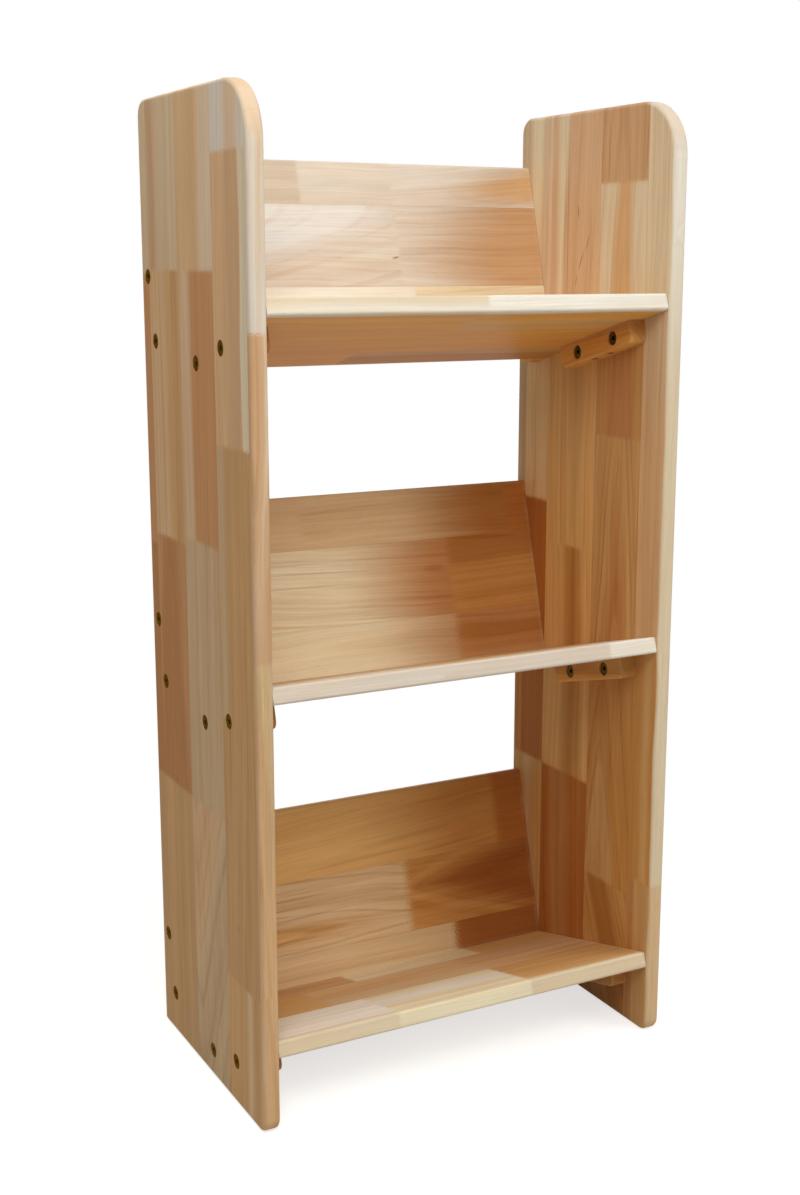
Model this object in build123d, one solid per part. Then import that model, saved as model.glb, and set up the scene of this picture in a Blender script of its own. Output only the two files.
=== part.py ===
from build123d import *

import os
from math import cos, radians, sin

# Solid wood bookcase with three tilted shelves, in millimetres.
# X runs to the right, Y to the back and Z up. The origin is on the floor, at the middle of the case.
# Two side panels stand on the floor. Each level between them is a shelf with a back board standing on its
# rear, at a right angle to it, and both lean back together. Cleats under the shelf and behind the back board
# are screwed to these boards and bolted to the side panels with connector bolts and sleeve nuts.

# Case
case_width = 500
case_depth = 300
case_height = 1050
panel_thickness = 18
panel_edge_radius = 4
front_top_radius = 60
back_top_radius = 18
front_bottom_radius = 15
back_bottom_radius = 4

# Levels, named from the floor up
level_names = ["lower", "middle", "upper"]
tilt = 15
floor_gap = 11.2
top_level_drop = 259
front_inset = 2.5
rear_inset = 0.3

# Shelf and back board of one level
shelf_thickness = 18
shelf_top_radius = 3
shelf_bottom_radius = 3
back_board_thickness = 18
back_board_height = 210
back_board_top_radius = 4
board_end_gap = 0.5

# Cleats, all alike, with their bolts and screws spaced from the middle outwards
cleat_thickness = 20
cleat_height = 25
cleat_corner_radius = 8
cleat_edge_radius = 2
screw_pitch = 30
screw_to_bolt = 20
bolt_to_cleat_end = 35

# Connector bolts
bolt_diameter = 6
bolt_head_diameter = 16
bolt_head_rim = 0.8
bolt_head_sink = 0.4
bolt_tip_chamfer = 0.8
bolt_tip_gap = 1
bolt_hole_clearance = 0.25
hex_key_width = 5
hex_socket_depth = 3

# Sleeve nuts
nut_head_diameter = 15
nut_head_thickness = 2.2
nut_head_chamfer = 0.6
nut_head_sink = 1.4
nut_wall = 1
nut_end_wall = 1.2
nut_to_panel = 3.4
nut_hole_clearance = 0.2
nut_pocket_clearance = 0.5
thread_clearance = 0.05

# Wood screws that hold the boards on the cleats
screw_diameter = 4
screw_head_diameter = 8
screw_head_rim = 0.4
screw_point_length = 5
screw_cover = 7
screw_hole_clearance = 0.1
cross_slot_width = 1.2
cross_slot_span = 4.4
cross_slot_depth = 1.8

# Dowels that hold the back board on the shelf
dowel_count = 3
dowel_diameter = 8
dowel_length = 30
dowel_cover = 6
dowel_end_distance = 60
dowel_chamfer = 1
dowel_hole_clearance = 0.1
dowel_end_clearance = 1

# Widths and lengths that follow from the values above
inner_half = case_width / 2 - panel_thickness
board_length = 2 * (inner_half - board_end_gap)
half_bolt_pitch = screw_pitch / 2 + screw_to_bolt
cleat_length = 2 * (half_bolt_pitch + bolt_to_cleat_end)
back_cleat_rise = cleat_length / 2 - shelf_thickness
nut_seat_depth = nut_head_sink + nut_head_thickness
nut_barrel_diameter = bolt_diameter + 2 * nut_wall
nut_barrel_length = cleat_thickness - nut_seat_depth - nut_to_panel
nut_bore_depth = nut_head_thickness + nut_barrel_length - hex_socket_depth - nut_end_wall
bolt_length = panel_thickness + nut_to_panel + nut_bore_depth - bolt_tip_gap - bolt_head_sink
screw_length = cleat_height + min(shelf_thickness, back_board_thickness) - screw_cover
dowel_depth = shelf_thickness - dowel_cover

# A level fills the depth of the panels: its rearmost point is the top of the back board or of the back cleat,
# its foremost point is the lower front edge of the shelf, and its lowest point is the rear of the shelf cleat
tilt_cos = cos(radians(tilt))
tilt_sin = sin(radians(tilt))
rounding_loss = tilt_cos + tilt_sin - 1
board_reach = back_board_thickness * tilt_cos + back_board_height * tilt_sin
cleat_reach = (back_board_thickness + cleat_height) * tilt_cos
cleat_reach += (back_cleat_rise + cleat_length / 2) * tilt_sin
level_y = case_depth / 2 - rear_inset - max(
    board_reach - back_board_top_radius * rounding_loss, cleat_reach - cleat_corner_radius * rounding_loss
)
front_reach = level_y + case_depth / 2 - front_inset + shelf_bottom_radius * rounding_loss
shelf_clear_depth = (front_reach - shelf_thickness * tilt_sin) / tilt_cos
cleat_rear = (cleat_length - shelf_clear_depth) / 2
cleat_drop = cleat_rear * tilt_sin + (shelf_thickness + cleat_height) * tilt_cos
first_level_z = floor_gap + cleat_drop - cleat_corner_radius * rounding_loss
level_pitch = (case_height - top_level_drop - first_level_z) / (len(level_names) - 1)

# A level's frame has its origin where the top of the shelf meets the front of the back board
level_frames = {
    name: Pos(0, level_y, first_level_z + index * level_pitch) * Rot(-tilt, 0, 0)
    for index, name in enumerate(level_names)
}
# In a left cleat's frame the cleat runs along Y, its board lies on it at Z 0 and the side panel is at X 0
cleat_frames = {
    "shelf": Pos(-inner_half, -shelf_clear_depth / 2, -shelf_thickness),
    "back": Pos(-inner_half, back_board_thickness, back_cleat_rise) * Rot(90, 0, 0),
}
# Fasteners are made about Z, with the outer face of the head at Z 0 and the shank upwards
bolt_entry = Pos(-panel_thickness, 0, 0) * Rot(0, 90, 0)
nut_entry = Pos(cleat_thickness, 0, 0) * Rot(0, -90, 0)
bolt_places = [Pos(0, y, -cleat_height / 2) for y in (-half_bolt_pitch, half_bolt_pitch)]
screw_places = [Pos(cleat_thickness / 2, y, -cleat_height) for y in (-screw_pitch / 2, screw_pitch / 2)]
dowel_span = board_length - 2 * dowel_end_distance
dowel_places = [
    Pos(dowel_span * (index / (dowel_count - 1) - 0.5), back_board_thickness / 2, -dowel_depth)
    for index in range(dowel_count)
]


def turned(points):
    """Solid of revolution about Z of an outline of (radius, height) points."""
    return revolve(Plane.XZ * make_face(Polyline(*points, close=True)), Axis.Z)


def countersunk(head_diameter, rim, diameter, tip_points):
    """Turned countersunk shape: a rim, a cone at 45 degrees, then a shank that ends in the tip points."""
    head_radius = head_diameter / 2
    radius = diameter / 2
    cone_end = rim + head_radius - radius
    return turned([(0, 0), (head_radius, 0), (head_radius, rim), (radius, cone_end), *tip_points])


def hex_socket():
    """Cutter for the hex socket in a head."""
    return extrude(RegularPolygon(hex_key_width / 2, 6, major_radius=False), hex_socket_depth)


def connector_bolt():
    """Countersunk bolt with a hex socket."""
    radius = bolt_diameter / 2
    tip = [
        (radius, bolt_length - bolt_tip_chamfer),
        (radius - bolt_tip_chamfer, bolt_length),
        (0, bolt_length),
    ]
    return countersunk(bolt_head_diameter, bolt_head_rim, bolt_diameter, tip) - hex_socket()


def bolt_hole():
    """Cutter for a countersunk bolt hole through a side panel."""
    diameter = bolt_diameter + 2 * bolt_hole_clearance
    head_diameter = bolt_head_diameter + 2 * bolt_hole_clearance
    rim = bolt_head_rim + bolt_head_sink + bolt_hole_clearance
    tip = [(diameter / 2, panel_thickness), (0, panel_thickness)]
    return countersunk(head_diameter, rim, diameter, tip)


def sleeve_nut():
    """Sleeve nut with a flat head, a hex socket and a barrel that is open at its far end."""
    head_radius = nut_head_diameter / 2
    barrel_radius = nut_barrel_diameter / 2
    bore_radius = bolt_diameter / 2 + thread_clearance
    barrel_end = nut_head_thickness + nut_barrel_length
    bore_start = barrel_end - nut_bore_depth
    nut = turned([
        (0, 0),
        (head_radius - nut_head_chamfer, 0),
        (head_radius, nut_head_chamfer),
        (head_radius, nut_head_thickness),
        (barrel_radius, nut_head_thickness),
        (barrel_radius, barrel_end),
        (bore_radius, barrel_end),
        (bore_radius, bore_start),
        (0, bore_start),
    ])
    return nut - hex_socket()


def nut_hole():
    """Cutter for the stepped hole of a sleeve nut and its bolt, through a cleat."""
    seat_radius = nut_head_diameter / 2 + nut_pocket_clearance
    barrel_radius = nut_barrel_diameter / 2 + nut_hole_clearance
    barrel_end = nut_seat_depth + nut_barrel_length + nut_hole_clearance
    bolt_radius = bolt_diameter / 2 + bolt_hole_clearance
    return turned([
        (0, 0),
        (seat_radius, 0),
        (seat_radius, nut_seat_depth),
        (barrel_radius, nut_seat_depth),
        (barrel_radius, barrel_end),
        (bolt_radius, barrel_end),
        (bolt_radius, cleat_thickness),
        (0, cleat_thickness),
    ])


def wood_screw():
    """Countersunk wood screw with a cross slot and a point."""
    tip = [(screw_diameter / 2, screw_length - screw_point_length), (0, screw_length)]
    screw = countersunk(screw_head_diameter, screw_head_rim, screw_diameter, tip)
    slot = extrude(Rectangle(cross_slot_span, cross_slot_width), cross_slot_depth)
    return screw - slot - Rot(0, 0, 90) * slot


def screw_hole():
    """Cutter for a wood screw's hole, through a cleat and on into its board."""
    diameter = screw_diameter + 2 * screw_hole_clearance
    head_diameter = screw_head_diameter + 2 * screw_hole_clearance
    depth = screw_length + screw_hole_clearance
    rim = screw_head_rim + screw_hole_clearance
    return countersunk(head_diameter, rim, diameter, [(diameter / 2, depth), (0, depth)])


def dowel():
    """Wooden dowel with chamfered ends."""
    radius = dowel_diameter / 2
    return turned([
        (0, 0),
        (radius - dowel_chamfer, 0),
        (radius, dowel_chamfer),
        (radius, dowel_length - dowel_chamfer),
        (radius - dowel_chamfer, dowel_length),
        (0, dowel_length),
    ])


def dowel_hole():
    """Cutter for a dowel's hole, through the seam of the shelf and the back board."""
    hole = Cylinder(
        dowel_diameter / 2 + dowel_hole_clearance,
        dowel_length + 2 * dowel_end_clearance,
        align=(Align.CENTER, Align.CENTER, Align.MIN),
    )
    return Pos(0, 0, -dowel_end_clearance) * hole


def box_between(low, high):
    """Box from its lowest to its highest corner."""
    size = [upper - lower for lower, upper in zip(low, high)]
    return Pos(*low) * Box(*size, align=(Align.MIN, Align.MIN, Align.MIN))


def rounded(board, corners, radius):
    """Board with its edges along X at the given (Y, Z) corners rounded."""
    lines = board.edges().filter_by(Axis.X)
    edges = [lines.sort_by_distance((0, y, z))[0] for y, z in corners]
    return fillet(edges, radius)


def drilled(board, cleat_kind):
    """Board with the holes of its dowels and of the screws that come through its left and right cleats."""
    left_holes = [cleat_frames[cleat_kind] * place * screw_hole() for place in screw_places]
    right_holes = [mirror(hole, Plane.YZ) for hole in left_holes]
    dowel_holes = [place * dowel_hole() for place in dowel_places]
    return board - left_holes - right_holes - dowel_holes


def shelf():
    """Shelf in its level's frame."""
    front = -shelf_clear_depth
    rear = back_board_thickness
    bottom = -shelf_thickness
    board = box_between((-board_length / 2, front, bottom), (board_length / 2, rear, 0))
    board = rounded(board, [(front, 0)], shelf_top_radius)
    board = rounded(board, [(front, bottom), (rear, bottom)], shelf_bottom_radius)
    return drilled(board, "shelf")


def back_board():
    """Back board in its level's frame."""
    rear = back_board_thickness
    top = back_board_height
    board = box_between((-board_length / 2, 0, 0), (board_length / 2, rear, top))
    board = rounded(board, [(0, top), (rear, top)], back_board_top_radius)
    return drilled(board, "back")


def cleat():
    """Left cleat in its own frame, rounded where it is free and drilled for two bolts and two screws."""
    end = cleat_length / 2
    bottom = -cleat_height
    block = box_between((0, -end, bottom), (cleat_thickness, end, 0))
    block = rounded(block, [(-end, bottom), (end, bottom)], cleat_corner_radius)
    inner_face = block.faces().sort_by(Axis.X)[-1]
    free_edges = inner_face.edges().sort_by(Axis.Z)[:-1]
    block = fillet(free_edges, cleat_edge_radius)
    nut_holes = [place * nut_entry * nut_hole() for place in bolt_places]
    screw_holes = [place * screw_hole() for place in screw_places]
    return block - nut_holes - screw_holes


def side_panel():
    """Left side panel, rounded all round and drilled for the bolts of every level."""
    outline = Rectangle(case_depth, case_height)
    low, high = -case_height / 2, case_height / 2
    front, rear = -case_depth / 2, case_depth / 2
    corner_radii = [
        ((front, low), front_bottom_radius),
        ((rear, low), back_bottom_radius),
        ((front, high), front_top_radius),
        ((rear, high), back_top_radius),
    ]
    for (y, z), radius in corner_radii:
        corner = outline.vertices().sort_by_distance((y, z, 0))[0]
        outline = fillet(corner, radius)
    panel = extrude(Plane.YZ * outline, panel_thickness)
    panel = fillet(panel.faces().filter_by(Axis.X).edges(), panel_edge_radius)
    panel = Pos(-case_width / 2, 0, case_height / 2) * panel
    holes = [
        level_frame * cleat_frame * place * bolt_entry * bolt_hole()
        for level_frame in level_frames.values()
        for cleat_frame in cleat_frames.values()
        for place in bolt_places
    ]
    return panel - holes


def left_fasteners(level_frame, places, entry, fastener):
    """Copies of a fastener at the given places of a level's two left cleats."""
    return [
        level_frame * cleat_frame * place * entry * fastener
        for cleat_frame in cleat_frames.values()
        for place in places
    ]


def left_end(level_frame):
    """The pieces at the left end of a level, as lists of solids by name."""
    sunk_bolt = Pos(0, 0, bolt_head_sink) * connector_bolt()
    sunk_nut = Pos(0, 0, nut_head_sink) * sleeve_nut()
    pieces = {f"{kind}_cleat": [level_frame * frame * cleat()] for kind, frame in cleat_frames.items()}
    pieces["connector_bolts"] = left_fasteners(level_frame, bolt_places, bolt_entry, sunk_bolt)
    pieces["sleeve_nuts"] = left_fasteners(level_frame, bolt_places, nut_entry, sunk_nut)
    pieces["cleat_screws"] = left_fasteners(level_frame, screw_places, Pos(0, 0, 0), wood_screw())
    return pieces


def write_node(name, shapes):
    """Write one node: a single solid, or a group of separate solids."""
    solids = [shape.solid() for shape in shapes]
    node = solids[0] if len(solids) == 1 else Compound(children=solids)
    export_step(node, f"parts/{name}.step")


def main():
    os.makedirs("parts", exist_ok=True)
    left_panel = side_panel()
    write_node("left_side_panel", [left_panel])
    write_node("right_side_panel", [mirror(left_panel, Plane.YZ)])
    for level, frame in level_frames.items():
        write_node(f"{level}_shelf", [frame * shelf()])
        write_node(f"{level}_back_board", [frame * back_board()])
        write_node(f"{level}_dowels", [frame * place * dowel() for place in dowel_places])
        for piece, solids in left_end(frame).items():
            write_node(f"{level}_left_{piece}", solids)
            write_node(f"{level}_right_{piece}", [mirror(solid, Plane.YZ) for solid in solids])
    print(f"boards {board_length:.1f} long, shelf {shelf_clear_depth + back_board_thickness:.1f} deep")
    print(f"cleats {cleat_length:.1f} long, bolts {bolt_length:.1f}, screws {screw_length:.1f}")
    print(f"first level at {first_level_z:.1f}, then every {level_pitch:.1f}, set back to {level_y:.1f}")


main()
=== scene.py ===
import math
from collections import namedtuple

import bpy
from mathutils import Matrix, Vector

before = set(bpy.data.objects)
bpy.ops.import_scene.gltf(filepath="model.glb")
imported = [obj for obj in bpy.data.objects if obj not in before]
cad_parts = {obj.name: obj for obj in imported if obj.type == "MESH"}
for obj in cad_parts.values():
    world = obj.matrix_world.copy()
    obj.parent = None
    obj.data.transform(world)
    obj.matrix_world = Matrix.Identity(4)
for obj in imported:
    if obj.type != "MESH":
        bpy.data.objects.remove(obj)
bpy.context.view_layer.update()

# The names of the nodes. Lengths are metres unless a comment says millimetres, and angles are degrees.
LEVELS = ("lower", "middle", "upper")
SIDES = ("left", "right")
LEVEL_TILT = -15.0
MILLIMETRE = 0.001

# The axes of a node that run along its grain, across it and through it
PANEL_AXES = "zyx"
SHELF_AXES = "xyz"
BACK_BOARD_AXES = "xzy"
DOWEL_AXES = "zxy"
CLEAT_AXES = {"_shelf_cleat": "yxz", "_back_cleat": "zxy"}

# The camera, the floor and the light
CAMERA_PLACE = (-0.8249, -1.5296, 0.8785)
CAMERA_YAW = 27.95
CAMERA_PITCH = -11.8
CAMERA_LENS = 47.83
CAMERA_SENSOR = 36.0
LEVEL_VIEW = 90.0

AIM = (0.0, 0.0, 0.55)
FLOOR_SIZE = 14.0
FLOOR_DROP = 0.0002
FLOOR_COLOUR = (0.62, 0.62, 0.61, 1.0)
FLOOR_FADE_START = 0.25
FLOOR_FADE_END = 0.85
FLOOR_LIFT = 0.68
AMBIENT_COLOUR = (1.0, 0.91, 0.80, 1.0)
AMBIENT_STRENGTH = 0.18

Lamp = namedtuple("Lamp", "name azimuth elevation distance size watts colour")
LAMPS = (
    Lamp("key_lamp", 40.0, 30.0, 4.0, 1.9, 51.0, (1.0, 1.0, 1.0)),
    Lamp("fill_lamp", -30.0, 38.0, 2.2, 0.8, 14.6, (1.0, 1.0, 1.0)),
    Lamp("left_lamp", -72.0, 47.0, 2.1, 1.2, 5.7, (1.0, 0.99, 0.97)),
    Lamp("top_lamp", -20.0, 75.0, 4.0, 2.3, 48.0, (1.0, 1.0, 1.0)),
    Lamp("back_lamp", 180.0, 22.0, 3.5, 1.6, 18.0, (1.0, 1.0, 1.0)),
)


def tone(red, green, blue):
    """A colour in screen values from 0 to 255, turned into the linear numbers that shaders take."""
    def linear(value):
        share = value / 255
        return share / 12.92 if share <= 0.04045 else ((share + 0.055) / 1.055) ** 2.4

    return (linear(red), linear(green), linear(blue), 1.0)


# The colours that the staves of the glued boards come in; some also paint light or shade, as noted where
# they are used
TONES = {
    "milk": tone(247, 239, 224),
    "ivory": tone(240, 232, 216),
    "vanilla": tone(240, 224, 188),
    "oat": tone(224, 210, 192),
    "pearl": tone(233, 228, 219),
    "linen": tone(226, 198, 164),
    "cream": tone(228, 208, 174),
    "butter": tone(224, 192, 148),
    "gold": tone(234, 188, 122),
    "apricot": tone(238, 178, 95),
    "fawn": tone(212, 194, 172),
    "sand": tone(218, 188, 148),
    "blush": tone(222, 184, 144),
    "rose": tone(209, 166, 122),
    "tan": tone(220, 178, 130),
    "ash": tone(207, 174, 130),
    "custard": tone(242, 206, 152),
    "honey": tone(222, 178, 116),
    "straw": tone(213, 166, 107),
    "wheat": tone(210, 158, 94),
    "oak": tone(204, 158, 103),
    "amber": tone(208, 150, 84),
    "russet": tone(202, 144, 90),
    "chestnut": tone(186, 126, 66),
    "copper": tone(190, 122, 62),
    "umber": tone(172, 106, 54),
}
MARK_TONE = tone(128, 66, 28)
SEAM_TONE = TONES["umber"]
WEAR_TONE = TONES["ivory"]
DOWEL_TONES = ("tan", "tan")
# Painted shade: the cleats' tones paint the shade that they sit in, the left ones darker still
CLEAT_SHADE_TONES = {"left": ("chestnut", "copper"), "right": ("apricot", "amber")}
CAP_TONES = {"left_side_panel": "linen", "right_side_panel": "oat"}
# Painted shade: the upper shelf's staves carry the warm shade under it, and its upper face takes these paler
# tones instead
UNSHADED_TOP_TONES = {"upper_shelf": ("cream", "linen")}

# The lengths of wood and metal finishes are millimetres. A feature of a finish has a size along the grain,
# across it and through it, or the spacing of lines, and a number of finer layers. Its offset keeps it
# apart from the other features. Without one it takes the offset of the stave that it is in.
Feature = namedtuple("Feature", "size detail offset", defaults=(None,))

# The growth figure: the bend of the core's middle line, streaks and sweeps along the grain, bands and rings
BEND = Feature((240, 80, 40), 1.0)
RIPPLE = Feature((80, 26, 20), 2.0)
STREAK = Feature((200, 2.8, 2.8), 2.0)
SWEEP = Feature((220, 9.0, 9.0), 2.0)
FIBRE = Feature((60, 1.3, 1.3), 2.0)
PORE = Feature((9, 0.6, 0.6), 1.0)
BLOTCH = Feature((130, 45, 45), 2.0)
WARMTH = Feature((160, 12.0, 12.0), 2.0, (40, 40, 40))
FADING = Feature((260, 22, 22), 1.0)
BAND = Feature(11.0, 2.0)
RING = Feature(3.6, 1.0)
BEND_REACH = 9.0
RIPPLE_REACH = 2.2
RING_ROUNDNESS = 40.0
RING_WIDENING = 8.0

# How soft the core's edge is, everywhere and more where it slopes, tapers or is flat, and how far it wobbles
EDGE_SOFTNESS = 0.3
SLOPE_SOFTNESS = 5.5
TAPER_SOFTNESS = 40.0
FLAT_SOFTNESS = 8.0
STREAK_WOBBLE = 3.0
SWEEP_WOBBLE = 4.0

# How much each feature darkens the wood, and what darkening and warmth add to red, green and blue
RING_DARKNESS = 0.11
BAND_DARKNESS = 0.12
LINE_GAIN = 2.2
STREAK_DARKNESS = 0.11
FIBRE_DARKNESS = 0.08
FINE_GAIN = 1.1
FINE_SHARE = 0.9
SWEEP_DARKNESS = 0.11
PORE_DARKNESS = 0.15
BLOTCH_DARKNESS = 0.09
DARKENING = (-0.62, -1.0, -1.3)
WARMING = (0.05, 0.0, -0.06)
UNCHANGED = (1.0, 1.0, 1.0)

# How the numbers of a stave are written into a ramp, which holds 0 to 1, and how they seed its noise
FAR_RANGE = 1000.0
ROUND_RANGE = 200.0
SHARE_RANGE = 1.0
CENTRE_SEED = 0.37
HALF_SEED = 0.73
SEED_STRIDES = (1.0, 1.7, 2.3)

# How the figure of staves without one of their own differs from stave to stave
STAVES_PER_BOARD = 40
PLAIN_STRIDES = (0.618, 0.37, 0.53, 0.71)
PLAIN_SHIFT = 120.0
PLAIN_ROUNDNESS = 20.0
PLAIN_ROUNDNESS_SPREAD = 40.0
PLAIN_TAPER = 0.10
PLAIN_DRIFT = 0.04

# Cleats and dowels, which are one stave each
BLOCK_CENTRE = 30.0
BLOCK_CENTRE_SPREAD = 40.0
BLOCK_REACH = 18.0
BLOCK_ROUNDNESS = 30.0
BLOCK_TAPER = 0.0
BLOCK_DRIFT = 0.04
BLOCK_LINES = 0.4

# Joints between staves: ends are feathered, seams are thin lines and changes without a seam wander
FEATHER = Feature((2.0, 0.5, 0.5), 1.0, (7, 2, 4))
WANDER = Feature((120, 400, 400), 1.0, (3, 1, 2))
# The middle and lower back boards have softer stave ends, so that the shade painted into them blends across
# the joints
JOINT_SOFTNESS = {"middle_back_board": 22.0, "lower_back_board": 22.0}
USUAL_JOINT_SOFTNESS = 9.0
WANDER_REACH = 5.0
CHANGE_SOFTNESS = 1.5
SEAM_STRENGTH = 0.3

# Caps are the sanded end grain of a panel's round front corner; tops are shelves' upper faces without
# painted shade
CAP_RADIUS = 60.0
CAP_STRENGTH = 0.75
TOP_STRENGTH = 0.75

# Satin lacquer on wood, worn along the edges
WEAR_PATCH = Feature((60, 30, 30), 3.0, (11, 5, 3))
WEAR_STRENGTH = 0.14
WOOD_ROUGHNESS = 0.5
FIBRE_ROUGHNESS = 0.05
PORE_ROUGHNESS = 0.10
WEAR_ROUGHNESS = -0.06
FIBRE_HEIGHT = 0.3
PORE_HEIGHT = -0.7
WOOD_BUMP = 0.35
WOOD_BUMP_HEIGHT = 0.1
WOOD_SPECULAR = 0.06
COAT_WEIGHT = 0.02
COAT_ROUGHNESS = 0.28

# Plated steel with spots, and lighter rims that are partly rubbed wear and partly a painted highlight
Metal = namedtuple("Metal", "name dark bright roughness")
BRONZE = Metal("antique_bronze", tone(70, 54, 30), tone(138, 112, 66), 0.42)
ZINC = Metal("yellow_zinc_plate", tone(122, 98, 60), tone(158, 132, 88), 0.38)
METAL_SPOT = Feature((3.0, 3.0, 3.0), 4.0, (2, 7, 1))
METAL_DENT = Feature((0.8, 0.8, 0.8), 2.0, (5, 3, 9))
METAL_SPECULAR_TINT = tone(206, 182, 138)
RIM_STRENGTH = 0.45
SPOT_ROUGHNESS = 0.10
METAL_BUMP = 0.25
METAL_BUMP_HEIGHT = 0.05

# Smooth steps: where each begins and ends and, if they aren't 0 and 1, its values there
CORE_STEP = (-1.0, 1.0)
PORE_STEP = (0.30, 0.5)
RING_STEP = (0.02, 0.4)
FADING_STEP = (-0.4, 0.4, 0.25, 1.0)
SEAM_STEP = (0.1, 0.5, 1.0, 0.0)
MARK_STEP = (0.3, 1.2)
EDGE_STEP = (1.0, 6.0, 1.0, 0.0)
WEAR_STEP = (-0.5, 0.6)
TOP_DEPTH_STEP = (6.0, 15.0, 0.0, TOP_STRENGTH)
TOP_FRONT_STEP = (2.0, 6.0)
CAP_RIM_STEP = (CAP_RADIUS - 4, CAP_RADIUS - 1)
CAP_UP_STEP = (0.0, 12.0)
CAP_FRONT_STEP = (2.0, 14.0)
RIM_STEP = (0.55, 0.95, 1.0, 0.0)
SPOT_STEP = (-0.3, 0.7, 0.0, 0.5)

# One stave of a strip: where it ends along the grain, the tone of its sides and of its core, and its
# growth figure: the middle line of the core, half the core's width, how round the arches are, how much the
# core widens along the grain, how much the middle line drifts and how strong the lines are from 0 to 1
Stave = namedtuple("Stave", "end side core centre half roundness taper drift lines")
Strip = namedtuple("Strip", "edge seam staves")
Mark = namedtuple("Mark", "along across length width turn strength")


def stave(end, side, core=None, centre=None, half=0.0, roundness=40.0, taper=0.0, drift=0.0, lines=0.4):
    """A stave up to end; without a centre of its own it gets plain grain later."""
    return Stave(end, side, core or side, centre, half, roundness, taper, drift, lines)


def strip(edge, *staves, seam=True):
    """A row of staves up to edge across the grain. Its lower edge is a seam or only a change of colour."""
    return Strip(edge, seam, staves)


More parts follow.
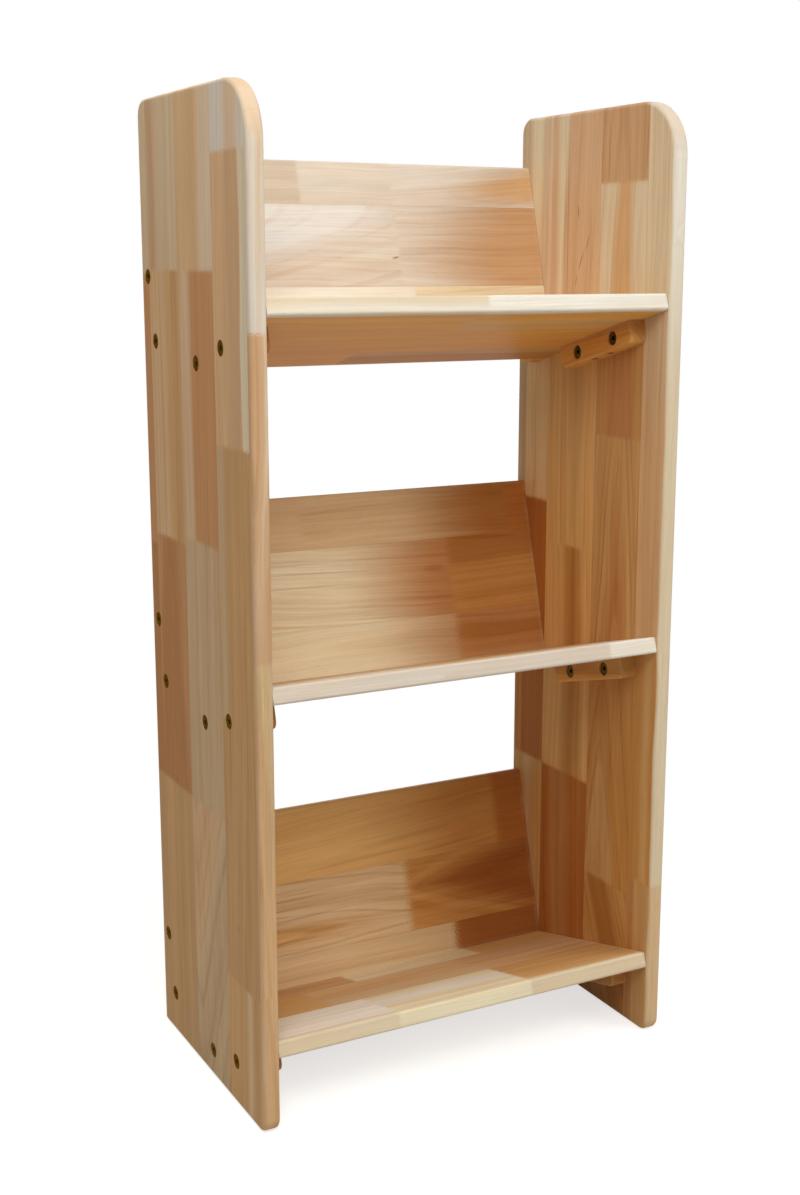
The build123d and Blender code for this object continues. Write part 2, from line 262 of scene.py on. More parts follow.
# The staves of each board. Across the grain, panels and shelves count from their front edge and back boards
# from their lower edge. Along the grain, panels count from the floor and other boards from their left end.
BOARD_STAVES = {
    "left_side_panel": (
        strip(
            7,
            stave(150, "tan"),
            stave(500, "tan", "ash", 12, 4, 5, 0.04, 0.0, 1.0),
            stave(815, "rose", "linen", 12, 4, 6, 0.01, 0.04, 0.6),
            stave(1050, "oat", "linen", 12, 2, 8, 0.01, 0.0, 0.2),
        ),
        strip(
            24,
            stave(140, "straw", "oak", 18, 8, 30),
            stave(425, "oak"),
            stave(704, "oak"),
            stave(983, "cream"),
            stave(1050, "oat"),
        ),
        strip(
            92,
            stave(140, "straw", "sand", 36, 5, 20),
            stave(425, "oak", lines=0.7),
            stave(704, "oak", "ash", 84, 10, 30),
            stave(983, "tan", "rose", 40, 15, 30),
            stave(1050, "oat", "linen", 40, 20, 30),
            seam=False,
        ),
        strip(
            188,
            stave(310, "ash", "tan", 174, 12, 4, 0.4, 0.0, 1.0),
            stave(596, "ash", "sand", 118, 8, 40, lines=0.7),
            stave(872, "russet", "blush", 186, 28, 60),
            stave(1050, "tan", "linen", 106, 22, 60),
        ),
        strip(
            276,
            stave(308, "oak", "straw", 262, 16, 30),
            stave(590, "russet", "chestnut", 236, 32, 20, -0.08, 0.0, 0.6),
            stave(872, "tan", "straw", 204, 26, 60, lines=0.8),
            stave(1050, "sand", "rose", 264, 13, 60),
        ),
        strip(300, stave(308, "oak"), stave(575, "chestnut"), stave(868, "russet"), stave(1050, "sand")),
    ),
    "right_side_panel": (
        strip(
            3,
            stave(178, "butter", lines=0.2),
            stave(455, "cream", lines=0.2),
            # Painted shade: the paler core widens upwards, so the stave is darker under the upper shelf
            stave(1050, "cream", "ivory", 1, -63, 200, 0.1, 0.0, 0.2),
        ),
        strip(
            45,
            stave(178, "straw", "russet", 40, 6, 10),
            stave(455, "amber", "honey", 20, 6, 20),
            # Painted shade: the cream core widens upwards, so the stave is darker under the upper shelf
            stave(1050, "tan", "cream", 24, -40, 200, 0.1, 0.0, 0.7),
            seam=False,
        ),
        strip(
            132,
            stave(154, "wheat", "chestnut", 80, 18, 60, 0.0, 0.35, 1.0),
            stave(420, "amber", "straw", 104, 12, 6, -0.16, 0.0, 1.0),
            stave(686, "straw", "russet", 84, 10, 6, -0.08, 0.0, 1.0),
            stave(818, "wheat", "russet", 86, 24, 14, -0.06, 0.0, 0.6),
            stave(966, "cream", "tan", 86, 16, 10, -0.04, 0.0, 0.5),
            stave(1050, "rose", lines=0.6),
        ),
        # Painted shade: here and in the next strip a joint at 790 mm hides behind the upper shelf, and the
        # staves below it take warmer tones for the shade under it
        strip(
            231,
            stave(263, "copper", "russet", 190, 18, 40, 0.0, 0.05, 1.0),
            stave(549, "gold", "wheat", 170, 20, 40, 0.0, 0.02, 0.8),
            stave(790, "gold", "honey", 170, 14, 40, 0.02, 0.0, 0.8),
            stave(1050, "blush", "cream", 214, 10, 20, 0.01, -0.01, 0.6),
        ),
        strip(
            281,
            stave(263, "honey", "butter", 262, 8, 40),
            stave(596, "amber", "copper", 256, 32, 40, 0.02),
            stave(790, "custard", lines=0.6),
            stave(1050, "linen", "vanilla", 262, 9, 30, 0.01, 0.0, 0.6),
        ),
        strip(300, stave(263, "honey"), stave(596, "amber"), stave(1050, "sand")),
    ),
    "upper_back_board": (
        strip(
            67,
            stave(286, "ivory", "vanilla", 30, 10, 40, lines=0.2),
            stave(463, "vanilla", "blush", 30, 8, 30, 0.05),
        ),
        strip(
            160,
            stave(273, "oat", "pearl", 165, 57, 40, -0.25, 0.0, 0.6),
            # Painted shade: the rose core widens towards the right end, where the right panel shades the
            # board
            stave(463, "oat", "rose", 104, 50, 200, 0.2, 0.0, 0.4),
        ),
        strip(
            210,
            stave(157, "fawn", lines=0.3),
            stave(273, "oat", lines=0.2),
            stave(463, "oat", "tan", 180, -4, 16, 0.1, 0.1, 0.3),
        ),
    ),
    "middle_back_board": (
        # Painted shade: the wide staves darken towards the right end, where the right panel shades the
        # board, and the darker end staves there are partly painted shade
        strip(
            55,
            stave(343, "vanilla", "rose", 28, -121, 200, 0.3),
            stave(463, "russet", "chestnut", 28, 10, 20),
        ),
        strip(
            147,
            stave(343, "vanilla", "russet", 110, -90, 200, 0.24, -0.06, 0.9),
            stave(463, "amber", "chestnut", 140, 20, 40, lines=0.8),
        ),
        strip(
            210,
            stave(153, "butter"),
            stave(432, "butter", "chestnut", 178, -75, 200, 0.3, 0.0, 0.7),
            stave(463, "copper"),
        ),
    ),
    "lower_back_board": (
        # Painted shade: the wide stave of the top strip darkens towards the right end, where the right panel
        # shades the board, and the darker end staves there are partly painted shade
        strip(35, stave(341, "butter"), stave(463, "umber")),
        strip(
            122,
            stave(281, "butter", "straw", 60, 8, 5, -0.08, -0.03, 1.0),
            stave(463, "amber", "umber", 88, 22, 4, 0.3, 0.0, 0.8),
        ),
        strip(210, stave(419, "gold", "amber", 150, -70, 200, 0.16, 0.06, 0.6), stave(463, "copper")),
    ),
    "upper_shelf": (
        strip(9, stave(242, "cream", "ivory", 4, 3, 20, lines=0.2), stave(463, "ivory", lines=0.2)),
        # Painted shade: the apricot, honey and amber staves behind the front strip paint the warm shade
        # under the upper shelf
        strip(94, stave(242, "apricot"), stave(463, "apricot", "gold", 60, 20, 40), seam=False),
        strip(182, stave(231, "apricot"), stave(463, "apricot")),
        strip(250, stave(180, "apricot"), stave(463, "honey", "amber", 220, 20, 40)),
    ),
    "middle_shelf": (
        strip(
            9,
            stave(190, "oat", lines=0.2),
            stave(400, "oat", lines=0.2),
            stave(463, "ivory", lines=0.2),
        ),
        strip(94, stave(190, "ivory"), stave(400, "cream"), stave(463, "ivory"), seam=False),
        strip(182, stave(260, "butter"), stave(463, "honey")),
        strip(250, stave(150, "honey"), stave(463, "butter")),
    ),
    "lower_shelf": (
        strip(
            9,
            stave(140, "cream", lines=0.2),
            stave(306, "vanilla", lines=0.2),
            stave(463, "cream", lines=0.2),
        ),
        strip(
            94,
            # Painted light: the milk stave is paler than the wood, for the strong light on the front of the
            # shelf's top
            stave(140, "milk", lines=0.3),
            stave(306, "vanilla", "ivory", 78, 12, 40, lines=0.4),
            stave(463, "straw", lines=1.0),
            seam=False,
        ),
        strip(
            182,
            stave(106, "honey"),
            stave(306, "butter", "tan", 168, 24, 40, lines=1.0),
            stave(463, "tan", lines=1.0),
        ),
        strip(250, stave(176, "tan", lines=0.8), stave(346, "vanilla", lines=0.8), stave(463, "honey")),
    ),
}

# Small knots and mineral streaks
BOARD_MARKS = {
    "upper_back_board": (Mark(268, 100, 5, 1.6, 10, 0.6),),
    "middle_back_board": (
        Mark(395, 144, 55, 3.5, -2, 0.3),
        Mark(110, 131, 80, 1.2, -1, 0.22),
        Mark(160, 119, 95, 1.0, -2, 0.28),
        Mark(135, 104, 90, 1.2, -1, 0.22),
        Mark(322, 112, 18, 5.0, 0, 0.25),
    ),
    "lower_back_board": (
        Mark(215, 134, 90, 2.5, 3, 0.16),
        Mark(290, 152, 80, 4.0, 5, 0.16),
        Mark(345, 133, 50, 3.0, 4, 0.16),
        Mark(95, 111, 70, 1.0, 1, 0.28),
        Mark(115, 101, 85, 1.2, 1, 0.32),
        Mark(100, 90, 70, 1.0, 1, 0.32),
        Mark(125, 78, 90, 1.2, 2, 0.28),
    ),
    "left_side_panel": (Mark(572, 285, 7, 2.0, 4, 0.45), Mark(205, 60, 7, 1.6, -4, 0.35)),
    "right_side_panel": (
        Mark(920, 197, 130, 1.4, 0.5, 0.34),
        Mark(935, 203, 90, 1.2, -0.5, 0.3),
        Mark(890, 150, 80, 1.4, 0, 0.18),
        Mark(1008, 118, 42, 1.0, 1, 0.4),
        Mark(1008, 48, 42, 1.2, -1, 0.4),
        Mark(560, 46, 110, 1.8, 0, 0.2),
        Mark(939, 176, 9, 1.4, 4, 0.5),
        Mark(905, 156, 11, 1.3, -20, 0.45),
        Mark(884, 169, 14, 1.4, -24, 0.5),
        Mark(862, 178, 8, 1.2, -14, 0.4),
    ),
}


class Net:
    """A node tree, with short calls for the nodes that the materials are made of."""

    def __init__(self, tree):
        self.tree = tree

    def feed(self, socket, value):
        """Gives a socket a link, if value is an output, or else a plain value."""
        if isinstance(value, bpy.types.NodeSocket):
            self.tree.links.new(value, socket)
        else:
            socket.default_value = value

    def node(self, kind, inputs=(), **settings):
        """A new node with its settings. Inputs are fed in order, or by the keys of a dictionary."""
        made = self.tree.nodes.new(kind)
        for name, value in settings.items():
            setattr(made, name, value)
        named = inputs if isinstance(inputs, dict) else dict(enumerate(inputs))
        for name, value in named.items():
            self.feed(made.inputs[name], value)
        return made

    def math(self, operation, *values):
        """The output of a Math node."""
        return self.node("ShaderNodeMath", values, operation=operation).outputs[0]

    def vector(self, operation, *values):
        """The vector output of a Vector Math node."""
        return self.node("ShaderNodeVectorMath", values, operation=operation).outputs["Vector"]

    def length(self, value):
        """The length of a vector."""
        return self.node("ShaderNodeVectorMath", (value,), operation="LENGTH").outputs["Value"]

    def split(self, value):
        """The three parts of a vector."""
        return self.node("ShaderNodeSeparateXYZ", (value,)).outputs[:]

    def join(self, *parts):
        """A vector of three parts."""
        return self.node("ShaderNodeCombineXYZ", parts).outputs[0]

    def triple(self, value):
        """A vector that holds one number three times."""
        return self.join(value, value, value)

    def hypotenuse(self, first, second):
        """The longest side of a triangle with a right angle between the two given sides."""
        squares = self.math("ADD", self.math("POWER", first, 2.0), self.math("POWER", second, 2.0))
        return self.math("SQRT", squares)

    def unpacked(self, share, limit):
        """The number between -limit and limit that a share from 0 to 1 stands for."""
        return self.math("MULTIPLY_ADD", share, 2 * limit, -limit)

    def step(self, value, low, high, to_low=0.0, to_high=1.0):
        """A smooth step from to_low at low to to_high at high."""
        values = (value, low, high, to_low, to_high)
        return self.node("ShaderNodeMapRange", values, interpolation_type="SMOOTHSTEP").outputs[0]

    # A Mix node has sockets of the same name for each type of value, so its sockets go by number
    def mix_colour(self, share, first, second):
        """A blend of two colours."""
        return self.node("ShaderNodeMix", {0: share, 6: first, 7: second}, data_type="RGBA").outputs[2]

    def mix_number(self, share, first, second):
        """A blend of two numbers."""
        return self.node("ShaderNodeMix", {0: share, 2: first, 3: second}, data_type="FLOAT").outputs[0]

    def mapped(self, value, location, rotation, scale):
        """A place as it is counted along axes that are moved, turned and scaled this way."""
        values = {"Vector": value, "Location": location, "Rotation": rotation, "Scale": scale}
        return self.node("ShaderNodeMapping", values, vector_type="TEXTURE").outputs[0]

    def noise(self, place, feature, offset=None):
        """Noise from -1 to 1 with a feature's size, detail and offset, unless another offset is given."""
        scale = tuple(1 / length for length in feature.size)
        moved = self.vector("MULTIPLY_ADD", place, scale, feature.offset if offset is None else offset)
        values = {"Vector": moved, "Scale": 1.0, "Detail": feature.detail}
        made = self.node("ShaderNodeTexNoise", values)
        return self.unpacked(made.outputs["Fac"], 1.0)

    def line_noise(self, value, feature, offset):
        """Noise from -1 to 1 along one number, with a feature's spacing and detail."""
        moved = self.math("MULTIPLY_ADD", value, 1 / feature.size, offset)
        values = {"W": moved, "Scale": 1.0, "Detail": feature.detail}
        made = self.node("ShaderNodeTexNoise", values, noise_dimensions="1D")
        return self.unpacked(made.outputs["Fac"], 1.0)

    def bump(self, height, strength, distance):
        """A normal that is tilted by small heights."""
        values = {"Strength": strength, "Distance": distance, "Height": height}
        return self.node("ShaderNodeBump", values).outputs[0]


def new_material(name):
    """A material with a net for its nodes and its main shader."""
    material = bpy.data.materials.new(name)
    material.use_nodes = True
    shader = material.node_tree.nodes["Principled BSDF"]
    return material, Net(material.node_tree), shader


def packed(value, limit):
    """A number between -limit and limit as a share from 0 to 1."""
    return (value + limit) / (2 * limit)


# The sockets of the growth figure. Centre and half width are packed. So is the shape, which holds the
# roundness as a share of its range, the taper and the drift.
FIGURE_INPUTS = {
    "Place": "Vector",
    "Side tone": "Color",
    "Core tone": "Color",
    "Centre": "Float",
    "Half width": "Float",
    "Shape": "Color",
    "Lines": "Float",
}
FIGURE_OUTPUTS = {"Colour": "Color", "Fibre": "Float", "Pores": "Float"}

# The numbers of a stave inside the figure, with the seed and the offset that make its noise its own
Growth = namedtuple("Growth", "centre half roundness taper drift seed offset")


def read_growth(net, given):
    """The numbers of a stave from the figure's inputs."""
    roundness, taper, drift = net.split(given["Shape"])
    centre = net.unpacked(given["Centre"], FAR_RANGE)
    half = net.unpacked(given["Half width"], FAR_RANGE)
    roundness = net.math("MULTIPLY", roundness, ROUND_RANGE)
    taper = net.unpacked(taper, SHARE_RANGE)
    drift = net.unpacked(drift, SHARE_RANGE)
    seed = net.math("MULTIPLY_ADD", half, HALF_SEED, roundness)
    seed = net.math("MULTIPLY_ADD", centre, CENTRE_SEED, seed)
    offset = net.vector("MULTIPLY", net.triple(seed), SEED_STRIDES)
    return Growth(centre, half, roundness, taper, drift, seed, offset)


def beside_middle(net, place, growth):
    """The distance from the core's middle line, which bends along the grain and leans through the board."""
    along, across, through = net.split(place)
    bend = net.noise(place, BEND, growth.offset)
    ripple = net.noise(place, RIPPLE, growth.offset)
    bent = net.math("MULTIPLY_ADD", ripple, RIPPLE_REACH, net.math("MULTIPLY", bend, BEND_REACH))
    middle = net.math("MULTIPLY_ADD", growth.drift, along, growth.centre)
    return net.math("ADD", net.math("SUBTRACT", across, middle), net.math("ADD", bent, through))


def arch_reach(net, along, radius, roundness, taper):
    """How far out the arch through a point lies. Arches widen along the grain with the taper."""
    outward = net.math("SUBTRACT", radius, roundness)
    return net.math("SUBTRACT", outward, net.math("MULTIPLY", taper, along))


def core_share(net, along, aside, growth, streak, sweep):
    """1 in the core and 0 outside it. The edge is streaky, and softer where it slopes, tapers or is flat."""
    radius = net.hypotenuse(aside, growth.roundness)
    reach = arch_reach(net, along, radius, growth.roundness, growth.taper)
    slope = net.math("DIVIDE", net.math("ABSOLUTE", aside), radius)
    steep = net.math("ABSOLUTE", growth.taper)
    flat = net.math("POWER", net.math("DIVIDE", growth.roundness, ROUND_RANGE), 2.0)
    softness = net.math("MULTIPLY_ADD", slope, SLOPE_SOFTNESS, EDGE_SOFTNESS)
    softness = net.math("MULTIPLY_ADD", steep, TAPER_SOFTNESS, softness)
    softness = net.math("MULTIPLY_ADD", flat, FLAT_SOFTNESS, softness)
    wobble = net.math("MULTIPLY_ADD", streak, STREAK_WOBBLE, net.math("MULTIPLY", sweep, SWEEP_WOBBLE))
    inside = net.math("SUBTRACT", growth.half, reach)
    inside = net.math("MULTIPLY_ADD", wobble, net.math("ADD", slope, steep), inside)
    return net.step(net.math("DIVIDE", inside, softness), *CORE_STEP)


def line_darkness(net, place, along, aside, growth):
    """Bands and rings. Both follow the core and are wider apart where they taper. Rings fade in places."""
    tight = net.math("MINIMUM", growth.roundness, RING_ROUNDNESS)
    tightness = net.math("POWER", net.math("DIVIDE", tight, growth.roundness), 2.0)
    taper = net.math("MULTIPLY", growth.taper, tightness)
    reach = arch_reach(net, along, net.hypotenuse(aside, tight), tight, taper)
    widening = net.math("MULTIPLY_ADD", net.math("ABSOLUTE", taper), RING_WIDENING, 1.0)
    spaced = net.math("DIVIDE", reach, widening)
    bands = net.line_noise(spaced, BAND, growth.seed)
    rings = net.step(net.line_noise(spaced, RING, growth.seed), *RING_STEP)
    faded = net.step(net.noise(place, FADING, growth.offset), *FADING_STEP)
    rings = net.math("MULTIPLY", rings, faded)
    return net.math("MULTIPLY_ADD", rings, RING_DARKNESS, net.math("MULTIPLY", bands, BAND_DARKNESS))


def growth_group():
    """The figure of one stave, with growth rings round a core, fibres and pores."""
    tree = bpy.data.node_groups.new("growth_figure", "ShaderNodeTree")
    for direction, sockets in (("INPUT", FIGURE_INPUTS), ("OUTPUT", FIGURE_OUTPUTS)):
        for name, kind in sockets.items():
            tree.interface.new_socket(name, in_out=direction, socket_type="NodeSocket" + kind)
    net = Net(tree)
    given = net.node("NodeGroupInput").outputs
    place = given["Place"]
    growth = read_growth(net, given)
    along, _, through = net.split(place)
    aside = beside_middle(net, place, growth)
    grain = net.join(along, aside, through)
    streak, sweep, fibre = (net.noise(grain, feature, growth.offset) for feature in (STREAK, SWEEP, FIBRE))
    pores = net.step(net.noise(grain, PORE, growth.offset), *PORE_STEP)
    blotch = net.noise(place, BLOTCH, growth.offset)
    core = core_share(net, along, aside, growth, streak, sweep)
    base = net.mix_colour(core, given["Side tone"], given["Core tone"])

    # Bands and rings count as much as the stave's lines are strong, streaks and fibres partly so
    line_strength = net.math("MULTIPLY", given["Lines"], LINE_GAIN)
    dark = net.math("MULTIPLY", line_darkness(net, place, along, aside, growth), line_strength)
    fine = net.math("MULTIPLY_ADD", streak, STREAK_DARKNESS, net.math("MULTIPLY", fibre, FIBRE_DARKNESS))
    fine_strength = net.math("MULTIPLY_ADD", given["Lines"], FINE_GAIN, FINE_SHARE)
    dark = net.math("MULTIPLY_ADD", fine, fine_strength, dark)
    for part, share in ((sweep, SWEEP_DARKNESS), (pores, PORE_DARKNESS), (blotch, BLOTCH_DARKNESS)):
        dark = net.math("MULTIPLY_ADD", part, share, dark)
    shade = net.vector("MULTIPLY_ADD", net.triple(dark), DARKENING, UNCHANGED)
    warm = net.noise(place, WARMTH, net.vector("ADD", growth.offset, WARMTH.offset))
    tint = net.vector("MULTIPLY_ADD", net.triple(warm), WARMING, UNCHANGED)
    colour = net.vector("MULTIPLY", net.vector("MULTIPLY", base, shade), tint)
    net.node("NodeGroupOutput", {"Colour": colour, "Fibre": fibre, "Pores": pores})
    return tree


GROWTH = growth_group()


def add_figure(net, *values):
    """The outputs of a growth figure whose inputs are fed in the order of FIGURE_INPUTS."""
    return net.node("ShaderNodeGroup", values, node_tree=GROWTH).outputs


def tilted_box(node, tilt):
    """A node's lowest and highest corner in metres, along axes that are turned with its level."""
    turn = Matrix.Rotation(math.radians(-tilt), 3, "X")
    corners = [turn @ vertex.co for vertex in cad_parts[node].data.vertices]
    low = Vector(min(corner[axis] for corner in corners) for axis in range(3))
    high = Vector(max(corner[axis] for corner in corners) for axis in range(3))
    return low, high


def wood_place(net, node, axes, tilt):
    """The place along, across and through the grain from a node's lowest corner, and the node's size."""
    low, high = tilted_box(node, tilt)
    point = net.node("ShaderNodeTexCoord").outputs["Object"]
    turned = net.mapped(point, (0, 0, 0), (math.radians(tilt), 0, 0), (MILLIMETRE, MILLIMETRE, MILLIMETRE))
    parts = dict(zip("xyz", net.split(net.vector("SUBTRACT", turned, tuple(low / MILLIMETRE)))))
    lengths = dict(zip("xyz", (high - low) / MILLIMETRE))
    return net.join(*(parts[axis] for axis in axes)), [lengths[axis] for axis in axes]


def constant_ramp(net, share, starts, values):
    """A ramp that holds one set of four numbers from each start to the next."""
    made = net.node("ShaderNodeValToRGB", (share,))
    made.color_ramp.interpolation = "CONSTANT"
    elements = made.color_ramp.elements
    elements.remove(elements[1])
    elements[0].position = 0.0
    elements[0].color = values[0]
    for start, value in zip(starts[1:], values[1:]):
        elements.new(start).color = value
    return made.outputs["Color"], made.outputs["Alpha"]


def plain_figure(number, low_edge, high_edge):
    """The middle line, roundness, taper and drift of a stave with plain grain."""
    shift, rounder, tapered, drifted = (number * stride % 1.0 for stride in PLAIN_STRIDES)
    middle = (low_edge + high_edge) / 2 + PLAIN_SHIFT * (shift - 0.5)
    roundness = PLAIN_ROUNDNESS + PLAIN_ROUNDNESS_SPREAD * rounder
    return middle, roundness, PLAIN_TAPER * (tapered - 0.5), PLAIN_DRIFT * (drifted - 0.5)


def packed_shape(roundness, taper, drift):
    """The three numbers of the figure's shape input."""
    return (roundness / ROUND_RANGE, packed(taper, SHARE_RANGE), packed(drift, SHARE_RANGE))


def strip_ramps(net, along, length, first_number, low_edge, row):
    """Three ramps along a strip: side tone with centre, core tone with half width, and shape with lines."""
    starts = [0.0]
    sides, cores, shapes = [], [], []
    begin = 0.0
    for number, piece in enumerate(row.staves, first_number):
        centre, roundness, taper, drift = piece.centre, piece.roundness, piece.taper, piece.drift
        if centre is None:
            centre, roundness, taper, drift = plain_figure(number, low_edge, row.edge)
        middle = (begin + piece.end) / 2
        centre_at_start = centre - drift * middle
        half = math.copysign(math.hypot(piece.half, roundness) - roundness, piece.half)
        half_at_start = half - taper * middle
        sides.append((*TONES[piece.side][:3], packed(centre_at_start, FAR_RANGE)))
        cores.append((*TONES[piece.core][:3], packed(half_at_start, FAR_RANGE)))
        shapes.append((*packed_shape(roundness, taper, drift), piece.lines))
        starts.append(piece.end / length)
        begin = piece.end
    share = net.math("DIVIDE", along, length)
    return [constant_ramp(net, share, starts, values) for values in (sides, cores, shapes)]


def board_staves(net, node, place, length):
    """What the ramps of a board's strips say at each point, and how far away the nearest seam is."""
    along, across, _ = net.split(place)
    softness = JOINT_SOFTNESS.get(node, USUAL_JOINT_SOFTNESS)
    feathered = net.math("MULTIPLY_ADD", net.noise(place, FEATHER), softness, along)
    wandering = net.math("MULTIPLY_ADD", net.noise(place, WANDER), WANDER_REACH, across)
    number = STAVES_PER_BOARD * list(BOARD_STAVES).index(node)
    first, *others = BOARD_STAVES[node]
    chosen = strip_ramps(net, feathered, length, number, 0.0, first)
    low_edge = first.edge
    number += len(first.staves)
    seam_gap = FAR_RANGE
    for row in others:
        ramps = strip_ramps(net, feathered, length, number, low_edge, row)
        if row.seam:
            share = net.math("GREATER_THAN", across, low_edge)
            gap = net.math("ABSOLUTE", net.math("SUBTRACT", across, low_edge))
            seam_gap = net.math("MINIMUM", seam_gap, gap)
        else:
            share = net.step(wandering, low_edge - CHANGE_SOFTNESS, low_edge + CHANGE_SOFTNESS)
        chosen = [
            (net.mix_colour(share, old[0], new[0]), net.mix_number(share, old[1], new[1]))
            for old, new in zip(chosen, ramps)
        ]
        low_edge = row.edge
        number += len(row.staves)
    return chosen, seam_gap


def unshaded_top_share(net, across, through):
    """How much a shelf's upper face behind its front edge takes its paler tones instead of the painted
    shade.
    """
    upper = net.step(through, *TOP_DEPTH_STEP)
    return net.math("MULTIPLY", upper, net.step(across, *TOP_FRONT_STEP))


def cap_share(net, along, across, length):
    """1 on the sanded end grain of a panel's round front corner."""
    up = net.math("MAXIMUM", net.math("SUBTRACT", along, length - CAP_RADIUS), 0.0)
    front = net.math("MAXIMUM", net.math("SUBTRACT", CAP_RADIUS, across), 0.0)
    rim = net.step(net.length(net.join(up, front, 0.0)), *CAP_RIM_STEP)
    round_part = net.math("MULTIPLY", net.step(up, *CAP_UP_STEP), net.step(front, *CAP_FRONT_STEP))
    return net.math("MULTIPLY", rim, round_part)


def mark_darkness(net, place, marks):
    """How much the small marks of a board darken it."""
    along, across, _ = net.split(place)
    flat = net.join(along, across, 0.0)
    total = 0.0
    for mark in marks:
        turn = (0, 0, math.radians(mark.turn))
        inside = net.mapped(flat, (mark.along, mark.across, 0), turn, (mark.length, mark.width, 1))
        dark = net.step(net.length(inside), *MARK_STEP, mark.strength, 0.0)
        total = net.math("MAXIMUM", total, dark)
    return total


def edge_nearness(net, place, size):
    """1 along the edges of a piece, falling to 0 a few millimetres away from them."""
    gaps = []
    for part, whole in zip(net.split(place), size):
        from_middle = net.math("ABSOLUTE", net.math("SUBTRACT", part, whole / 2))
        gaps.append(net.math("SUBTRACT", whole / 2, from_middle))
    lesser = net.math("MINIMUM", gaps[0], gaps[1])
    greater = net.math("MAXIMUM", gaps[0], gaps[1])
    second = net.math("MAXIMUM", lesser, net.math("MINIMUM", greater, gaps[2]))
    return net.step(second, *EDGE_STEP)


def finish_wood(net, shader, place, size, colour, figure, seams):
    """Satin lacquer over the wood: worn edges, roughness and bump."""
    patches = net.step(net.noise(place, WEAR_PATCH), *WEAR_STEP)
    wear = net.math("MULTIPLY", edge_nearness(net, place, size), patches)
    colour = net.mix_colour(net.math("MULTIPLY", wear, WEAR_STRENGTH), colour, WEAR_TONE)
    net.feed(shader.inputs["Base Color"], colour)
    roughness = net.math("MULTIPLY_ADD", figure["Fibre"], FIBRE_ROUGHNESS, WOOD_ROUGHNESS)
    roughness = net.math("MULTIPLY_ADD", figure["Pores"], PORE_ROUGHNESS, roughness)
    roughness = net.math("MULTIPLY_ADD", wear, WEAR_ROUGHNESS, roughness)
    net.feed(shader.inputs["Roughness"], roughness)
    height = net.math("MULTIPLY", figure["Fibre"], FIBRE_HEIGHT)
    height = net.math("MULTIPLY_ADD", figure["Pores"], PORE_HEIGHT, height)
    height = net.math("SUBTRACT", height, seams)
    net.feed(shader.inputs["Normal"], net.bump(height, WOOD_BUMP, WOOD_BUMP_HEIGHT * MILLIMETRE))
    shader.inputs["Specular IOR Level"].default_value = WOOD_SPECULAR
    shader.inputs["Coat Weight"].default_value = COAT_WEIGHT
    shader.inputs["Coat Roughness"].default_value = COAT_ROUGHNESS


def board_material(node, axes, tilt):
    """Edge-glued wood for one board, with its own staves."""
    material, net, shader = new_material(node + "_wood")
    place, size = wood_place(net, node, axes, tilt)
    along, across, through = net.split(place)
    chosen, seam_gap = board_staves(net, node, place, size[0])
    (side, centre), (core, half), (shape, lines) = chosen
    # Painted shade: a shelf whose staves paint the shade under it gets paler tones on its upper face
    if node in UNSHADED_TOP_TONES:
        top = unshaded_top_share(net, across, through)
        top_side, top_core = UNSHADED_TOP_TONES[node]
        side = net.mix_colour(top, side, TONES[top_side])
        core = net.mix_colour(top, core, TONES[top_core])
    figure = add_figure(net, place, side, core, centre, half, shape, lines)
    seams = net.step(seam_gap, *SEAM_STEP)
    colour = net.mix_colour(net.math("MULTIPLY", seams, SEAM_STRENGTH), figure["Colour"], SEAM_TONE)
    if node in CAP_TONES:
        cap = net.math("MULTIPLY", cap_share(net, along, across, size[0]), CAP_STRENGTH)
        colour = net.mix_colour(cap, colour, TONES[CAP_TONES[node]])
    if node in BOARD_MARKS:
        marks = mark_darkness(net, place, BOARD_MARKS[node])
        colour = net.mix_colour(marks, colour, MARK_TONE)
    finish_wood(net, shader, place, size, colour, figure, seams)
    return material


def block_material(node, axes, tilt, side, core):
    """Solid wood in one piece, for cleats and dowels."""
    material, net, shader = new_material(node + "_wood")
    place, size = wood_place(net, node, axes, tilt)
    low, _ = tilted_box(node, tilt)
    centre = BLOCK_CENTRE + BLOCK_CENTRE_SPREAD * (sum(low) % 1.0)
    shape = (*packed_shape(BLOCK_ROUNDNESS, BLOCK_TAPER, BLOCK_DRIFT), 1.0)
    figure = add_figure(
        net,
        place,
        TONES[side],
        TONES[core],
        packed(centre, FAR_RANGE),
        packed(BLOCK_REACH, FAR_RANGE),
        shape,
        BLOCK_LINES,
    )
    finish_wood(net, shader, place, size, figure["Colour"], figure, 0.0)
    return material


def metal_material(metal):
    """Plated steel: patchy finish, with lighter rims, part rubbed wear and part painted highlight, where the
    surface turns away from the head's face.
    """
    material, net, shader = new_material(metal.name)
    per_millimetre = (1 / MILLIMETRE,) * 3
    place = net.vector("MULTIPLY", net.node("ShaderNodeTexCoord").outputs["Object"], per_millimetre)
    spots = net.noise(place, METAL_SPOT)
    facing = net.math("ABSOLUTE", net.split(net.node("ShaderNodeNewGeometry").outputs["Normal"])[0])
    # Rims, part rubbed wear and part painted highlight, lighten where the surface turns away from the head's
    # face
    rim = net.step(facing, *RIM_STEP)
    share = net.math("MULTIPLY_ADD", rim, RIM_STRENGTH, net.step(spots, *SPOT_STEP))
    net.feed(shader.inputs["Base Color"], net.mix_colour(share, metal.dark, metal.bright))
    net.feed(shader.inputs["Roughness"], net.math("MULTIPLY_ADD", spots, SPOT_ROUGHNESS, metal.roughness))
    shader.inputs["Metallic"].default_value = 1.0
    shader.inputs["Specular Tint"].default_value = METAL_SPECULAR_TINT
    dents = net.noise(place, METAL_DENT)
    net.feed(shader.inputs["Normal"], net.bump(dents, METAL_BUMP, METAL_BUMP_HEIGHT * MILLIMETRE))
    return material


def wear_material(node, material):
    """Puts a material in every slot of a node."""
    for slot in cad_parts[node].material_slots:
        slot.material = material


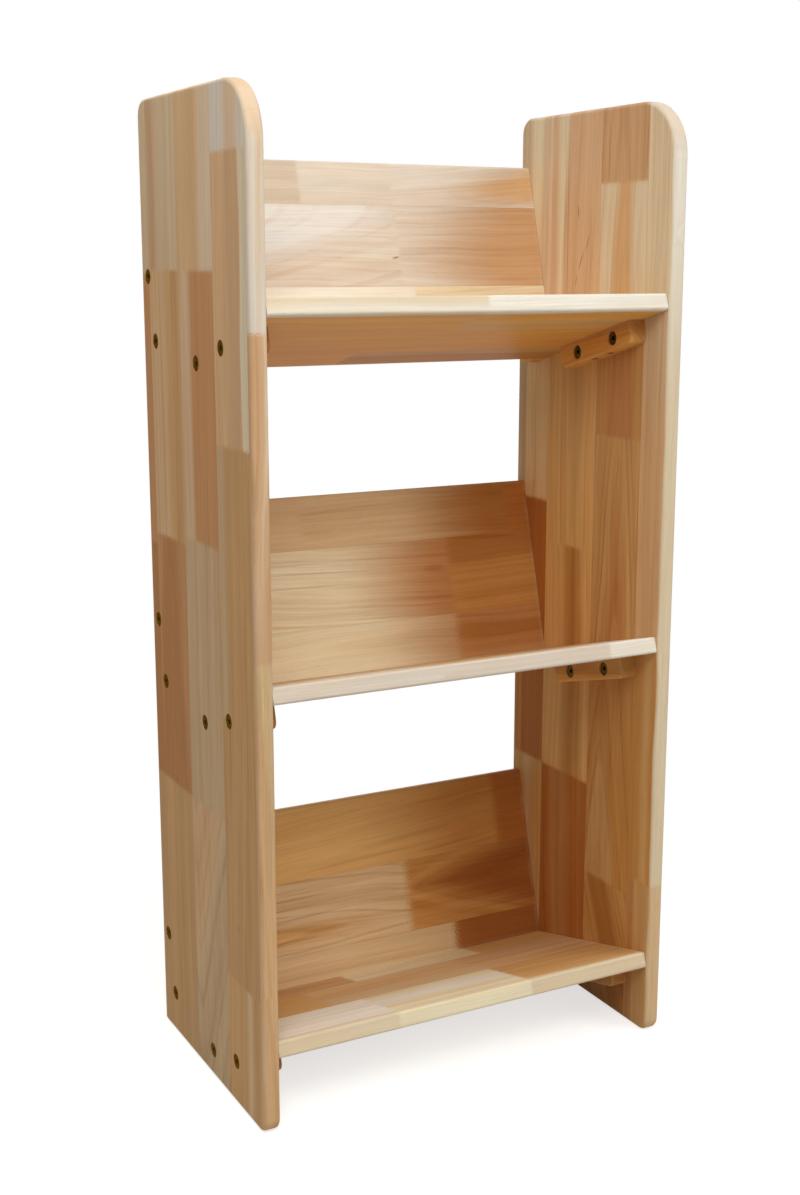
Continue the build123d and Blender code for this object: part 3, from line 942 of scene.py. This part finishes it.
def dress_nodes():
    """Gives every node of the frame its finish."""
    bronze = metal_material(BRONZE)
    zinc = metal_material(ZINC)
    for side in SIDES:
        panel = side + "_side_panel"
        wear_material(panel, board_material(panel, PANEL_AXES, 0.0))
    for level in LEVELS:
        shelf, back_board, dowels = (level + name for name in ("_shelf", "_back_board", "_dowels"))
        wear_material(shelf, board_material(shelf, SHELF_AXES, LEVEL_TILT))
        wear_material(back_board, board_material(back_board, BACK_BOARD_AXES, LEVEL_TILT))
        wear_material(dowels, block_material(dowels, DOWEL_AXES, LEVEL_TILT, *DOWEL_TONES))
        for side in SIDES:
            place = level + "_" + side
            for name, axes in CLEAT_AXES.items():
                cleat = place + name
                # Cleats take tones with painted shade
                wear_material(cleat, block_material(cleat, axes, LEVEL_TILT, *CLEAT_SHADE_TONES[side]))
            wear_material(place + "_connector_bolts", bronze)
            wear_material(place + "_sleeve_nuts", bronze)
            wear_material(place + "_cleat_screws", zinc)


def seen_directly(net):
    """1 for rays from the camera and for those that mirror or pass through to it."""
    path = net.node("ShaderNodeLightPath").outputs
    seen = net.math("MAXIMUM", path["Is Camera Ray"], path["Is Glossy Ray"])
    return net.math("MAXIMUM", seen, path["Is Transmission Ray"])


def add_floor():
    """A pale floor that keeps the shadow near the object and turns white further out."""
    mesh = bpy.data.meshes.new("studio_floor")
    reach = FLOOR_SIZE / 2
    corners = [(x * reach, y * reach, -FLOOR_DROP) for x, y in ((-1, -1), (1, -1), (1, 1), (-1, 1))]
    mesh.from_pydata(corners, [], [(0, 1, 2, 3)])
    floor = bpy.data.objects.new("studio_floor", mesh)
    bpy.context.scene.collection.objects.link(floor)
    material, net, shader = new_material("studio_floor")
    net.tree.nodes.remove(shader)
    seen = seen_directly(net)
    pale = net.node("ShaderNodeBsdfDiffuse", {"Color": FLOOR_COLOUR})
    lift = net.node("ShaderNodeEmission", {"Strength": net.math("MULTIPLY", seen, FLOOR_LIFT)})
    lit = net.node("ShaderNodeAddShader", (pale.outputs[0], lift.outputs[0]))
    white = net.node("ShaderNodeEmission")
    distance = net.length(net.node("ShaderNodeTexCoord").outputs["Object"])
    far = net.step(distance, FLOOR_FADE_START, FLOOR_FADE_END)
    share = net.math("MULTIPLY", far, seen)
    mixed = net.node("ShaderNodeMixShader", (share, lit.outputs[0], white.outputs[0]))
    net.feed(net.tree.nodes["Material Output"].inputs["Surface"], mixed.outputs[0])
    mesh.materials.append(material)


def add_world():
    """A white surround for the camera and for reflections, and soft light for everything else."""
    world = bpy.data.worlds.new("studio")
    bpy.context.scene.world = world
    world.use_nodes = True
    net = Net(world.node_tree)
    ambient = net.tree.nodes["Background"]
    ambient.inputs["Color"].default_value = AMBIENT_COLOUR
    ambient.inputs["Strength"].default_value = AMBIENT_STRENGTH
    white = net.node("ShaderNodeBackground", {"Color": (1, 1, 1, 1)})
    mixed = net.node("ShaderNodeMixShader", (seen_directly(net), ambient.outputs[0], white.outputs[0]))
    net.feed(net.tree.nodes["World Output"].inputs["Surface"], mixed.outputs[0])


def add_lamps():
    """Square soft lamps, each placed by its direction from the object's middle."""
    for lamp in LAMPS:
        light = bpy.data.lights.new(lamp.name, "AREA")
        light.shape = "SQUARE"
        light.size = lamp.size
        light.energy = lamp.watts
        light.color = lamp.colour
        azimuth, elevation = math.radians(lamp.azimuth), math.radians(lamp.elevation)
        away = Vector((math.sin(azimuth), -math.cos(azimuth), math.tan(elevation))).normalized()
        placed = bpy.data.objects.new(lamp.name, light)
        placed.location = Vector(AIM) + lamp.distance * away
        placed.rotation_euler = away.to_track_quat("Z", "Y").to_euler()
        bpy.context.scene.collection.objects.link(placed)


def add_camera():
    """The photograph's view."""
    data = bpy.data.cameras.new("photo_view")
    data.lens = CAMERA_LENS
    data.sensor_width = CAMERA_SENSOR
    camera = bpy.data.objects.new("photo_view", data)
    camera.location = CAMERA_PLACE
    camera.rotation_euler = (math.radians(LEVEL_VIEW + CAMERA_PITCH), 0, math.radians(-CAMERA_YAW))
    bpy.context.scene.collection.objects.link(camera)
    bpy.context.scene.camera = camera


dress_nodes()
add_floor()
add_world()
add_lamps()
add_camera()
bpy.context.scene.view_settings.view_transform = "Standard"
